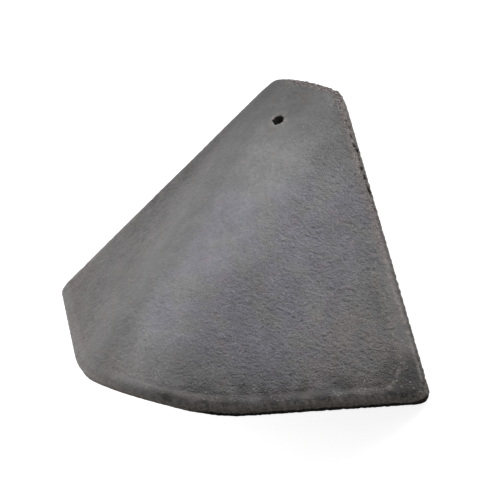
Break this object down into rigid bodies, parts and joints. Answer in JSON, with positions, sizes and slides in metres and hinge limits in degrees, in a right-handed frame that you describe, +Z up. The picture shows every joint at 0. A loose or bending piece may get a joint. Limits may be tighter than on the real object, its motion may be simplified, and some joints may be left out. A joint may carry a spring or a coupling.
{
  "type": "hip tile",
  "caption": "Concrete hip tile: two flat wings meet in a rounded crown, wide curved front, narrow nail-holed head.",
  "frame": {"origin": "middle of the tile's bounding box at floor level, the tile lying as it rests by itself", "axes": "+X across the tile, +Y level and along the tile towards its narrow head, +Z up"},
  "size_m": [0.354, 0.284, 0.1429],
  "materials": {
    "concrete": "matte"
  },
  "bodies": {
    "root": {"hip_tile": "concrete"}
  },
  "joints": []
}
